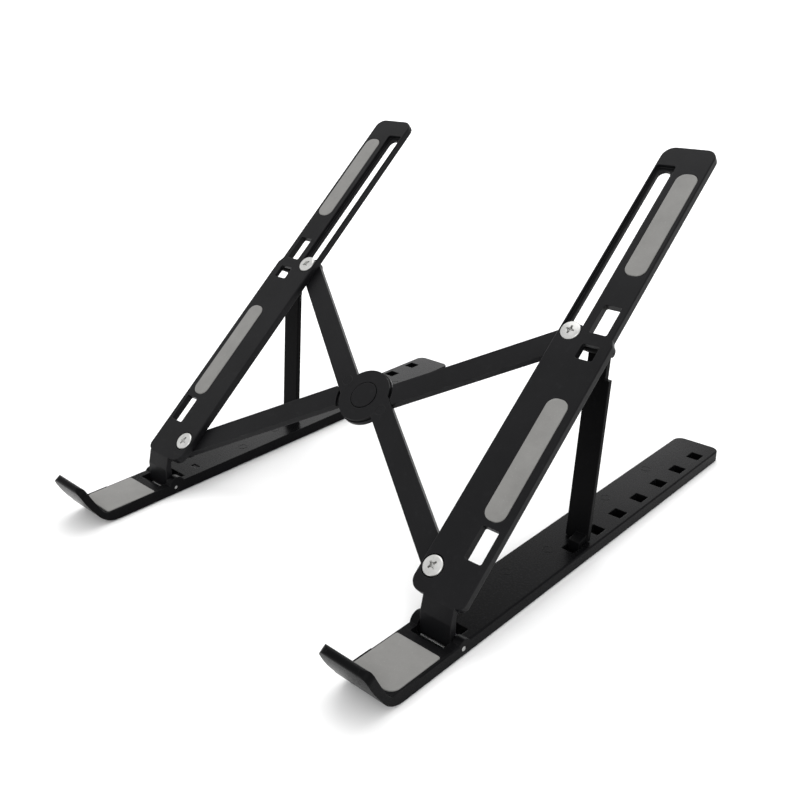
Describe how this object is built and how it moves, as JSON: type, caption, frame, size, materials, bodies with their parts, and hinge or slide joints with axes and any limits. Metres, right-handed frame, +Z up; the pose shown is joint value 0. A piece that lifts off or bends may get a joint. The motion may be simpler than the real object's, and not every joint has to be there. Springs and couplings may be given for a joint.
{
  "type": "laptop stand",
  "caption": "Folding laptop stand with hinged rails and arms, front lips, grip strips, rear struts and a pair of crossed bars joined at a central hub.",
  "frame": {"origin": "On the table under the middle of the stand: midway between the two rails and midway between the tips of the front lips and the rear ends of the rails.", "axes": "+Z up, +Y towards the back of the stand along the rails, +X to the right as seen from the front, where the lips are."},
  "size_m": [0.204, 0.2525, 0.157],
  "materials": {
    "black_abs": "satin",
    "grey_silicone": "matte",
    "zinc_screw": "plated",
    "steel_pin": "satin"
  },
  "bodies": {
    "rail_right": {"right_base_rail": "black_abs", "right_rail_pad": "grey_silicone", "right_front_foot": "grey_silicone", "right_rear_foot": "grey_silicone", "right_hinge_pin": "steel_pin"},
    "arm_right": {"right_arm": "black_abs", "right_upper_grip_strip": "grey_silicone", "right_lower_grip_strip": "grey_silicone", "right_strut_pin": "steel_pin"},
    "strut_right": {"right_strut": "black_abs"},
    "upper_bar": {"upper_cross_bar": "black_abs", "hub_cap": "black_abs", "right_pivot_screw": "zinc_screw", "right_pivot_nut": "zinc_screw", "left_slider_screw": "zinc_screw", "left_slider_washer": "zinc_screw", "left_slider_bush": "black_abs", "left_slider_nut": "zinc_screw"},
    "lower_bar": {"lower_cross_bar": "black_abs", "hub_pin": "steel_pin", "hub_retainer": "black_abs", "left_pivot_screw": "zinc_screw", "left_pivot_nut": "zinc_screw", "right_slider_screw": "zinc_screw", "right_slider_washer": "zinc_screw", "right_slider_bush": "black_abs", "right_slider_nut": "zinc_screw"},
    "arm_left": {"left_arm": "black_abs", "left_upper_grip_strip": "grey_silicone", "left_lower_grip_strip": "grey_silicone", "left_strut_pin": "steel_pin"},
    "strut_left": {"left_strut": "black_abs"},
    "rail_left": {"left_base_rail": "black_abs", "left_rail_pad": "grey_silicone", "left_front_foot": "grey_silicone", "left_rear_foot": "grey_silicone", "left_hinge_pin": "steel_pin"}
  },
  "joints": [
    {"name": "arm_right_raise", "type": "hinge", "parent": "rail_right", "child": "arm_right", "pos_m": [0.0903, -0.0774, 0.0032], "axis": [1, 0, 0], "range_deg": [0, 50]},
    {"name": "frame_close", "type": "hinge", "parent": "arm_right", "child": "upper_bar", "pos_m": [0.08, -0.06585, 0.02097], "axis": [0, 0.6347, -0.7727], "range_deg": [0, 50.5]},
    {"name": "hub_turn", "type": "hinge", "parent": "upper_bar", "child": "lower_bar", "pos_m": [0, -0.02351, 0.05575], "axis": [0, -0.6347, 0.7727], "range_deg": [0, 101]},
    {"name": "left_pivot_turn", "type": "hinge", "parent": "lower_bar", "child": "arm_left", "pos_m": [-0.08, -0.06585, 0.02097], "axis": [0, 0.6347, -0.7727], "range_deg": [0, 50.5]},
    {"name": "arm_left_raise", "type": "hinge", "parent": "arm_left", "child": "rail_left", "pos_m": [-0.0903, -0.0774, 0.0032], "axis": [-1, 0, 0], "range_deg": [0, 50]},
    {"name": "strut_right_fold", "type": "hinge", "parent": "arm_right", "child": "strut_right", "pos_m": [0.093, 0.01623, 0.0893], "axis": [-1, 0, 0], "range_deg": [0, 40.6]},
    {"name": "strut_left_fold", "type": "hinge", "parent": "arm_left", "child": "strut_left", "pos_m": [-0.093, 0.01623, 0.0893], "axis": [-1, 0, 0], "range_deg": [0, 40.6]}
  ],
  "couplings": [
    {"joint": "hub_turn", "follows": "frame_close", "ratio": 2},
    {"joint": "left_pivot_turn", "follows": "frame_close", "ratio": 1},
    {"joint": "arm_left_raise", "follows": "arm_right_raise", "ratio": 1},
    {"joint": "strut_right_fold", "follows": "arm_right_raise", "ratio": 0.812},
    {"joint": "strut_left_fold", "follows": "arm_right_raise", "ratio": 0.812}
  ]
}
